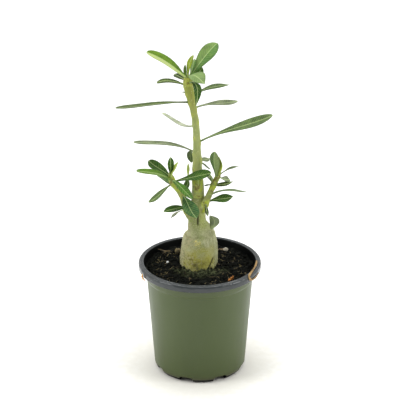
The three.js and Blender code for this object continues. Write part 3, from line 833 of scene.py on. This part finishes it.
def grow_stem(stations, nodes):
    """A stem with a bump at each node, and how near each point is to a node as `node`."""
    line = Stem(stations)
    pads = [(line.at_height(z), heading(way)) for z, way in nodes]

    def nearness(here, out):
        place = here.to_3d()
        return sum(gauss((place - spot).length, NODE_SIZE) * max(out.dot(way), 0) ** 2
                   for spot, way in pads)

    def relief(here, out, angle, part):
        place = here.to_3d() + out * here.w
        ripple = 0.16 * noise.fractal(Vector((place.x, place.y, place.z * 0.5)) * 0.5, 0.8, 2, 3)
        return ripple + NODE_RISE * min(nearness(here, out), 1.2)

    parts = even_parts(int((stations[-1][0] - stations[0][0]) / RING_GAP))
    bm = bmesh.new()
    layer = bm.verts.layers.float.new("node")
    rings = skin(bm, [line.section(part, STEM_SIDES, relief) for part in parts])
    for part, ring in zip(parts, rings):
        here = line.read(part)
        for vert in ring:
            vert[layer] = min(nearness(here, (vert.co - here.to_3d()).normalized()), 1)
    return line, bm


print("scars:", len(MAIN_SCARS) + len(LEFT_SCARS) + len(RIGHT_SCARS))

# %% [markdown]
# ## One leaf
# A desert rose leaf is long, widest beyond its middle, and folded a little along a pale rib. It
# narrows into a stalk that is nearly round. A tube that is pressed flat makes stalk and blade
# in one: its sections go from round to a thin lens, with a groove above the rib and a ridge
# below it. Each point also remembers where it lies on the blade, for the veins.

# %% The leaf's form
Leaf = namedtuple("Leaf", "z way rise length width arch bow sweep roll tone form",
                  defaults=["spoon"])
EARLY_BOW = 27 / 4  # scales s (1 - s)^2, which peaks at a third of the length, to 1
EVEN_BOW = 4  # scales s (1 - s), which peaks at the middle, to 1
LEAF_SIDES = 20
ROW_GAP, FEWEST_ROWS, MOST_ROWS = 1.4, 14, 44
STALK_THICK, BLADE_THICK = 1.9, 0.55
CROWDING = 0.6  # how much closer the sections stand towards the tip
# A bulge above 1 moves the widest place towards the tip. A fullness below 1 fills the ends.
FORMS = {
    "spoon": (1.9, 0.85), "blunt": (2.2, 0.55), "paddle": (2.6, 0.5), "strap": (1.5, 0.5),
    "lance": (1.35, 1.15), "wedge": (0.9, 1.2), "round": (1.2, 0.6),
}
# Screen colours of the blade, and how much paler its one half is, from 0 to 1. The paler half
# is painted light on a folded blade.
# The tones were matched leaf by leaf, so besides each leaf's own colour they hold painted light and
# shade: the darkest tone darkens leaves seen at a grazing angle, and the brightest lightens upright
# leaves that face sideways.
TONES = {
    "dusk": (8, 18, 3, 0), "split": (30, 68, 12, 0.25), "deep": (32, 74, 16, 0),
    "blue": (50, 88, 52, 0), "mid": (62, 108, 34, 0), "fresh": (74, 114, 14, 0.12),
    "leafy": (82, 120, 60, 0.15), "lime": (86, 120, 0, 0.7), "moss": (60, 74, 38, 0),
    "sage": (82, 100, 64, 0), "celery": (116, 140, 86, 0), "ash": (116, 122, 100, 0),
    "young": (148, 162, 40, 0), "bright": (192, 208, 88, 0), "pale": (192, 194, 178, 0),
}


def half_width(s, leaf):
    bulge, fullness = FORMS[leaf.form]
    blade = leaf.width / 2 * max(math.sin(math.pi * s ** bulge), 0) ** fullness
    return max(blade, mix(0.9, 0.25, s ** 3))


def grow_leaf(bm, layers, root, leaf):
    """Adds one leaf that starts in the stem's axis at the root."""
    forward = heading(leaf.way, leaf.rise)
    level = heading(leaf.way + 90)
    side = Quaternion(forward, math.radians(leaf.roll)) @ level
    upward = forward.cross(level)
    rows = max(FEWEST_ROWS, min(int(leaf.length / ROW_GAP), MOST_ROWS))

    def centre(s):
        even = EVEN_BOW * s * (1 - s)
        lift = leaf.arch * EARLY_BOW * s * (1 - s) ** 2 + leaf.bow * even
        return root + forward * leaf.length * s + upward * lift + level * leaf.sweep * even

    sections, notes = [], []
    for part in even_parts(rows):
        s = mix(part, math.sin(math.pi / 2 * part), CROWDING)
        normal = (centre(s + 0.01) - centre(s - 0.01)).cross(side).normalized()
        half = half_width(s, leaf)
        slim = ease(s, 0, 0.3)
        thick = mix(STALK_THICK, BLADE_THICK, slim) * mix(1, 0.5, ease(s, 0.85, 1))
        section, note = [], []
        for angle in turns(LEAF_SIDES):
            u, v = math.cos(angle), math.sin(angle)
            wave = 0.3 * math.sin(9 * s + 2 * u) * u * u * slim
            lift = 0.16 * half * abs(u) * slim + wave
            face = math.copysign(abs(v) ** mix(1, 0.6, slim), v) * thick / 2
            rib = gauss(u, 0.2) * slim * (0.12 if v > 0 else 0.45 * (1 - s))
            section.append(centre(s) + side * u * half + normal * (lift + face - rib))
            note.append(((u * half, s * leaf.length, abs(u)), float(v < -0.01)))
        sections.append(section)
        notes.append(note)
    blade, under, tone = layers
    *screen, painted_light_half = TONES[leaf.tone]
    colour = (*paint(*screen)[:3], painted_light_half)
    for ring, note in zip(skin(bm, sections), notes):
        for vert, (place, lower) in zip(ring, note):
            vert[blade], vert[under], vert[tone] = place, lower, colour


def leaf_layers(bm):
    verts = bm.verts.layers
    return (verts.float_vector.new("blade"), verts.float.new("under"),
            verts.float_color.new("tone"))


print("tones:", ", ".join(TONES))

# %% [markdown]
# ## All the leaves
# The leaves are not scattered by a rule, because the photograph shows each one. A row gives
# the height of its node, its heading and rise, its length and width, how far its first half
# and its middle rise above a straight line, how far it swings aside, how it is rolled about
# its length, its tone and, where it isn't a spoon, the form of its blade.

# %% The leaves of each stem
STEM_LEAVES = [
    (262, 203, 4, 73, 11.5, 2, -0.5, 1, 2, "moss", "blunt"),
    (256, 26, 0, 45, 9.5, 2.5, -1.5, 1, 10, "ash", "blunt"),
    (240.5, 149, 7, 36, 5.5, -4, -0.5, 1, -5, "pale", "strap"),
    (222.5, -8, 24, 75, 11.5, 3, -1.5, -0.5, 29, "sage", "paddle"),
    (212, 167, 6, 60, 11, 4, 0.5, 0, -1, "ash", "blunt"),
    (212.5, 133, -56, 14, 6.5, 5.5, 1.5, 0.5, 28, "sage"),
    (205.5, 46, -9, 16.5, 6.5, 0.5, -1.5, 0.5, 21, "ash"),
    (204, 39, -35, 20, 4.5, 2.5, -1.5, 0, -11, "sage"),
    (172, 272, 70, 20, 5.5, -2, 0, 0, 0, "young"),
    (187.5, 193, 61, 18.5, 6, -4.5, -1.5, -1.5, 10, "bright"),
    (284, 191, 37, 46, 14.5, -0.5, 3, 0.5, -22, "lime", "strap"),
    (283.5, 33, 42, 42.5, 14.5, -1, 2, 0, 28, "leafy", "blunt"),
    (284.5, -8, 76, 23, 6, -0.5, 2, 0, 45, "young", "strap"),
    (283, 130, 76, 14, 4, 0, -1, 1, 0, "fresh"),
    (284, 55, 55, 20, 5.5, -1, 0, -0.5, -10, "leafy"),
    (282, 33, 35, 18.5, 8, 4.5, -2.5, -2.5, 21, "mid", "blunt"),
    (284, -52, 5, 25, 15, 3, 2.5, 0, 14, "celery", "lance"),
    (280.5, -68, -43, 25, 8, 7, 4.5, 2.5, -8, "deep", "wedge"),
    (283, 136, 3, 17.5, 7, -1.5, 1.5, 0.5, -18, "dusk"),
    (277, 162, 1, 30, 6, -0.5, 3.5, 0, -31, "moss", "paddle"),
    (267.5, 19, 10, 39, 7, 0.5, 2.5, -0.5, 15, "sage", "lance"),
    (270.5, 190, 14, 7, 3.5, 0, 0, 0, 0, "sage"),
]
LEFT_LEAVES = [
    (188.5, 156, 34, 28, 12.5, 3, -2, -0.5, -15, "deep", "blunt"),
    (186.5, 206, 26, 40, 10.5, 1.5, 2.5, 2, -15, "fresh", "strap"),
    (182.5, 152, 19, 20, 12, -1.5, 1, -0.5, 13, "mid", "lance"),
    (191, 120, 88, 20, 7, 0, 1.5, 1, -2, "deep"),
    (190, 6, 68, 17, 9.5, 1, 1, -3, 0, "bright", "strap"),
    (185.5, 201, -32, 28.5, 8, 2.5, -2, 1, -15, "sage"),
    (189, -43, -25, 28, 10.5, 0.5, 3, -2.5, -3, "mid", "strap"),
    (187, -13, 18, 38, 13, 0, 0, 0, 22, "deep", "blunt"),
    (171, 20, 73, 19, 8.5, 2, -1.5, -1, 11, "deep"),
    (172, -64, -18, 31.5, 15, 5, 0.5, -2.5, -3, "blue"),
    (158, 220, 12, 28.5, 10.5, 1.5, 2.5, 3.5, -13, "deep"),
    (158.5, 146, -37, 22.5, 5, 1, 1, 0.5, 17, "pale"),
]
RIGHT_LEAVES = [
    (189, -136, 87, 28.5, 11, 2.5, -4.5, 2, 8, "split", "blunt"),
    (189.5, 38, 81, 22, 9.5, -0.5, 1, -4, -3, "bright"),
    (193, 15, 20, 21.5, 6, 0, 1.5, 0.5, -10, "moss"),
    (193.5, 48, -29, 19, 8, -0.5, -1, -1.5, 44, "ash"),
    (183.5, -17, 21, 21, 5.5, 1.5, -2, -1.5, 32, "dusk", "wedge"),
    (173, 26, -5, 40, 7, 2.5, 1.5, -0.5, -5, "sage", "strap"),
    (164.5, -9, 19, 28, 10.5, 2.5, -1, -0.5, 24, "deep"),
    (185, 129, -25, 15.5, 5, 1, -0.5, -1, 11, "sage"),
    (184.5, 119, 44, 11, 4, 0, 0, 0, 21, "celery"),
    (184, 112, 22, 14, 5, 1, 0, 0, 0, "ash"),
    (166, -77, -44, 14, 4, 1.5, 2.5, -1, -23, "dusk"),
]
LOW_LEAF = Leaf(137.5, 270, 88, 14.5, 9.4, 0, 1, 3.6, 0, "ash", "round")
LOW_LEAF_ROOT = Vector((10, 1.5, 137.5))


def grow_shoot(stations, rows, scars):
    """A stem and its leaves, as two meshes."""
    leaves = [Leaf(*row) for row in rows]
    line, stem = grow_stem(stations, [(one.z, one.way) for one in leaves] + scars)
    foliage = bmesh.new()
    layers = leaf_layers(foliage)
    for one in leaves:
        grow_leaf(foliage, layers, line.at_height(one.z), one)
    return stem, foliage


shoots = {
    "main": grow_shoot(MAIN_STATIONS, STEM_LEAVES, MAIN_SCARS),
    "left": grow_shoot(LEFT_STATIONS, LEFT_LEAVES, LEFT_SCARS),
    "right": grow_shoot(RIGHT_STATIONS, RIGHT_LEAVES, RIGHT_SCARS),
}
low_leaf = bmesh.new()
grow_leaf(low_leaf, leaf_layers(low_leaf), LOW_LEAF_ROOT, LOW_LEAF)
print("leaves:", len(STEM_LEAVES) + len(LEFT_LEAVES) + len(RIGHT_LEAVES) + 1)

# %% [markdown]
# ## Finishes of stems and leaves
# A leaf is waxy and dark above and dull and greyer below. Its rib and the veins that leave it
# at a slant are paler, and a hair's breadth at its margin is darker. An attribute says how far a
# point is across and along the blade in millimetres, so veins keep one spacing on long and
# short leaves. The stem has streaks of the same greens. Low on the main stem and where the
# right shoot starts, leaves stood close together and left green and brown blots.

# %% Finish the leaves
VEIN_GAP, VEIN_SLANT = 2.6, 0.8

wax = Finish("waxy_leaf", Specular_IOR_Level=0.15, Subsurface_Weight=0.08,
             Subsurface_Radius=(0.001, 0.002, 0.0005))
across, along, edge = wax.axes(wax.attribute("blade", "Vector"))
below = wax.attribute("under")
off_rib = wax.away(across)
mottle = wax.noise(350, 4)
wax.ground((mottle, 0.3, 0.7, 0, 0.25), wax.attribute("tone", "Color"), (126, 154, 68))
# Painted shadow: dark green blotches over the blades.
wax.coat((30, 54, 20), (wax.noise(120, 2), 0.35, 0.7, 0, 0.4))
# Painted light: one half of the blade paler, by as much as the tone's alpha says.
wax.coat((186, 198, 128), (across, 0.0, 0.7), wax.attribute("tone", "Alpha"))
slant = wax.minus(along, wax.times(off_rib, VEIN_SLANT))
wave = wax.maths("SINE", wax.times(slant, 2 * math.pi / VEIN_GAP))
vein = wax.times((wave, 0.8, 1.0), (off_rib, 0.2, 0.8))
wax.coat((156, 180, 100), vein, 0.3)
rib, stalk = wax.step(off_rib, 0.45, 0.12, 0, 0.62), wax.step(along, 6, 2, 0, 0.55)
wax.coat((184, 202, 136), wax.maths("MAXIMUM", rib, stalk))
wax.coat((58, 72, 44), (edge, 0.86, 1.0, 0, 0.4))
wax.coat((124, 138, 104), below, 0.22)
wax.emboss(wax.minus(1.0, vein), 0.00012)
wax.emboss(wax.noise(900, 3), 0.00006)
dull = wax.maths("ADD", wax.step(mottle, 0.3, 0.7, 0.42, 0.56), wax.times(below, 0.2))
wax.set(Roughness=dull)
print("veins every", VEIN_GAP, "mm")

# %% Finish the stems
rind = Finish("green_stem", Specular_IOR_Level=0.4)
right, back, height = rind.axes()
streaks = rind.noise(420, 4, (1, 1, 0.12))
clouds = rind.noise(110, 4)
rind.ground(streaks, (112, 126, 60), (158, 166, 104))
rind.coat((162, 164, 98), (clouds, 0.45, 0.68, 0, 0.4))
young = rind.step(height, 0.235, 0.272, 0, 0.8)
rind.coat((128, 134, 36), young)
rind.coat((102, 92, 26), young, (streaks, 0.52, 0.68, 0, 0.6))
rind.coat((98, 112, 40), (right, 0.0045, 0.008), (height, 0.212, 0.204, 0, 0.5))
rind.coat((116, 108, 62), (height, 0.200, 0.160), (rind.noise(200, 4), 0.46, 0.64, 0, 0.5))
node = rind.attribute("node")
rind.coat((164, 174, 66), (node, 0.15, 0.8, 0, 0.5))
rind.coat((98, 78, 30), (node, 0.6, 0.9), (rind.noise(500, 2), 0.45, 0.6, 0, 0.7))
low_crowd = rind.times((rind.away(height, 0.186), 0.012, 0.007), (back, 0.003, 0.0005))
start_crowd = rind.times((height, 0.173, 0.167), (right, 0.001, 0.003))
crowd = rind.maths("MAXIMUM", low_crowd, start_crowd)
blots = rind.noise(300, 3, (1, 1, 0.6))
rind.coat((156, 172, 30), crowd, (blots, 0.46, 0.56, 0, 0.7))
rind.coat((98, 84, 26), crowd, (blots, 0.46, 0.38, 0, 0.7))
rind.coat((190, 192, 140), (rind.cells(520, "F1", (1, 1, 0.6)), 0.22, 0.08, 0, 0.5))
rind.emboss(streaks, 0.0002)
rind.emboss(rind.noise(900, 3), 0.0001)
rind.set(Roughness=rind.step(clouds, 0.3, 0.7, 0.45, 0.6))

for name, (stem, foliage) in shoots.items():
    finish_piece(f"{name}_stem", stem, rind, [f"{name}_shoot"])
    finish_piece(f"{name}_leaves", foliage, wax, [f"{name}_shoot"])
finish_piece("low_leaf_blade", low_leaf, wax, ["low_leaf"])


# %% [markdown]
# ## Single things on the mix and the rim
# A few things are large enough to be told apart: a grain of perlite, a lump and a ridged chip
# of bark, a twig, a splinter of wood, and a dry strip that hangs over the rim. Each replaces
# its own CAD node. A hair and a shred at the left of the rim are too thin for the CAD model
# and are only drawn here.

# %% Shape the grain, the lump and the twig
PERLITE_SPOT, PERLITE_SIZE = (-30, 7), 1.25
LUMP_SPOT, LUMP_SIZE = (-20.3, 29.5), 3.2
TWIG_ENDS = [Vector((-39.5, 31.5, 103.4)), Vector((-26.5, 29, 101.9))]
TWIG_RADIUS, TWIG_BENDS = 0.7, 8
TWIGLETS = [
    ([(-34.5, 30.2, 103), (-33, 27, 102.6), (-31.5, 25, 102)], 0.35),
    ([(-31, 29.6, 102.4), (-33.5, 27.4, 102.3), (-35.5, 26.4, 102.3)], 0.35),
    ([(-19, 27.5, 105.6), (-16.8, 25.5, 105), (-16, 23.5, 102.6)], 0.3),
]

perlite = bmesh.new()
lump(perlite, (*PERLITE_SPOT, soil_height(*PERLITE_SPOT) + 1.2), PERLITE_SIZE, (1, 0.9, 0.85), 3)
bark_lump = bmesh.new()
lump(bark_lump, (*LUMP_SPOT, soil_height(*LUMP_SPOT) + 2.6), LUMP_SIZE, (1, 1, 0.9), 3)

twig = bmesh.new()
line = []
for part in even_parts(TWIG_BENDS):
    bend = Vector((0, math.sin(9 * part), math.cos(7 * part))) * 0.35
    line.append(TWIG_ENDS[0].lerp(TWIG_ENDS[1], part) + bend)
strand(twig, line, TWIG_RADIUS, 9)
for points, radius in TWIGLETS:
    strand(twig, points, radius, 6)
print("the twig has", len(twig.faces), "faces")

# %% Shape the splinter and the ridged chip
SPLINTER_ENDS = ((17, 33), (27, 36.5))
SPLINTER_HALVES = [  # part of the length, and half of the width there
    (0, 0.8), (0.3, 0.9), (0.5, 1.0), (0.65, 1.6), (0.8, 2.1), (0.9, 1.5), (1, 0.2),
]
CHIP_HEADING, CHIP_RADIUS = -48, 41
CHIP_RIDGES = ((-1.9, 3.8), (0, 5.2), (1.8, 6.4))  # place across, and height

splinter = bmesh.new()
ends = [Vector((x, y, soil_height(x, y) + 1.5)) for x, y in SPLINTER_ENDS]
along = (ends[1] - ends[0]).normalized()
level = Vector((-along.y, along.x, 1.2)).normalized()
plate = along.cross(level)
sections = []
for part, half in SPLINTER_HALVES:
    middle = ends[0].lerp(ends[1], part) + plate * 0.2 * math.sin(8 * part)
    sections.append(oval(middle, level * half, plate * 0.5, 10))
skin(splinter, sections)

chip = bmesh.new()
chip_way = heading(CHIP_HEADING)
chip_side = heading(CHIP_HEADING + 90)
chip_foot = chip_way * CHIP_RADIUS
chip_foot.z = soil_height(chip_foot.x, chip_foot.y) + 0.3
chip_up = (chip_way * 0.45 + Vector((0, 0, 0.9))).normalized()
chip_out = chip_side.cross(chip_up)
for ridge, (place, tall) in enumerate(CHIP_RIDGES):
    sections = []
    for part in even_parts(6):
        lean = 0.35 * math.sin(7 * part + 2 * ridge)
        middle = chip_foot + chip_side * (place + lean) + chip_up * part * tall
        half = 0.85 * (1 - 0.35 * part ** 3)
        sections.append(oval(middle, chip_side * half, chip_out, 8))
    skin(chip, sections)
print("the chip has", len(chip.faces), "faces")

# %% Shape the things on the rim
HAIR = [(-43.8, 35.4, 107.4), (-46.5, 36.6, 108.6), (-49, 37.6, 110.6), (-51.3, 38.6, 112)]
SHRED = [(-52.6, -24.9, 105.2), (-52.9, -25.3, 102.6), (-52, -25.8, 100.6), (-52.4, -25.5, 98.4)]
SHRED_END = [(-52.2, -25.7, 101.2), (-51, -26, 100), (-50.4, -26, 98)]
STRIP_WIDTH, STRIP_THICK, STRIP_STEPS, STRIP_SIDES = 2.2, 0.6, 60, 10
STRIP_STATIONS = [  # heading, radius, height, and how far its face leans outwards in degrees
    (-2, 52.8, 107.65, 0), (-14, 53, 107.65, 0), (-26, 53.6, 107.65, 0), (-35.5, 55.8, 107.65, 12),
    (-38, 57.25, 106.95, 50), (-37.4, 57.75, 104.4, 88), (-33, 57.65, 102.4, 90),
    (-27, 57.65, 102.2, 90), (-20, 57.65, 103.6, 90),
]

rim_hair = bmesh.new()
strand(rim_hair, HAIR, 0.17, 4)
shred = bmesh.new()
strand(shred, SHRED, 0.95, 8)
strand(shred, SHRED_END, 0.55, 6)

places = [heading(way) * radius + Vector((0, 0, z)) for way, radius, z, _ in STRIP_STATIONS]
faces = [heading(way, 90 - lean) for way, _, _, lean in STRIP_STATIONS]
strip_line, face_line = (Stem([(p.z, p.x, p.y, 0) for p in row]) for row in (places, faces))
sections = []
for part in even_parts(STRIP_STEPS):
    middle = strip_line.read(part).to_3d()
    face = face_line.read(part).to_3d().normalized()
    across = face.cross(strip_line.forward(part)).normalized()
    half = STRIP_WIDTH / 2 * (0.55 + 0.45 * math.sin(math.pi * min(part * 1.1, 1)) ** 0.5)
    half *= 1 + 0.12 * math.sin(23 * part) + 0.08 * math.sin(51 * part + 1)
    ring = []
    for angle in turns(STRIP_SIDES):
        lift = STRIP_THICK / 2 * math.sin(angle) + 0.08 * math.cos(3 * angle)
        ring.append(middle + across * half * math.cos(angle) + face * lift)
    sections.append(ring)
strip = bmesh.new()
skin(strip, sections)
print("the strip has", len(strip.faces), "faces")

# %% [markdown]
# ## Finishes of the single things
# Perlite is puffed glass, white and rough as chalk. The rest is dead bark and wood, brown where
# it is fresh and grey where it has weathered. Where it has a grain, noise is drawn out along it.

# %% Finish the single things
chalky = Finish("perlite", Base_Color=(0.86, 0.88, 0.86, 1), Roughness=0.9)
chalky.emboss(chalky.noise(2500, 3), 0.0003)
ridged = two_tone("ridged_bark", (900, 4, (1, 1, 0.25)), (104, 58, 18), (196, 130, 58), 0.0005,
                  Roughness=0.85)
crumbly = two_tone("bark_crumb", (500, 4), (44, 38, 20), (106, 94, 58), 0.0008, Roughness=0.9)
straw = two_tone("dry_strip", (800, 4, (0.5, 0.5, 1)), (104, 80, 40), (164, 130, 74), 0.0003,
                 (0.3, 0.7), Roughness=0.6)
twiggy = two_tone("dry_twig", (700, 4, (0.3, 1, 1)), (54, 46, 28), (112, 96, 64), Roughness=0.85)
orange = two_tone("orange_shred", (420, 3), (198, 120, 40), (232, 196, 136), span=(0.4, 0.6),
                  Roughness=0.7)

grey = Finish("weathered_wood", Roughness=0.85)
threads = grey.noise(700, 4, (0.3, 1, 1))
grey.ground((grey.axes()[0], 0.0205, 0.024), (128, 104, 76), (160, 156, 140))
grey.coat((92, 84, 66), (threads, 0.4, 0.65, 0, 0.7))
grey.emboss(threads, 0.0003)

finish_piece("perlite_bead", perlite, chalky, ["perlite_grain"])
finish_piece("bark_crumb", bark_lump, crumbly, ["bark_lump"])
finish_piece("dry_twig", twig, twiggy, ["twig"])
finish_piece("splinter", splinter, grey, ["wood_sliver"])
finish_piece("bark_ridge", chip, ridged, ["bark_chip"])
finish_piece("rim_strip", strip, straw, ["fibre_strip"])
finish_piece("rim_hair", rim_hair, twiggy)
finish_piece("rim_shred", shred, orange)

# %% [markdown]
# ## Measures
# The boxes of the CAD model and of the dressed model are printed side by side. The dressed
# model may not grow past the CAD model's box.

# %% Write the sizes and finish
dressed_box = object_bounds()
for name, box in (("CAD", cad_box), ("dressed", dressed_box)):
    print(name, "box:", [[round(value, 4) for value in corner] for corner in box])
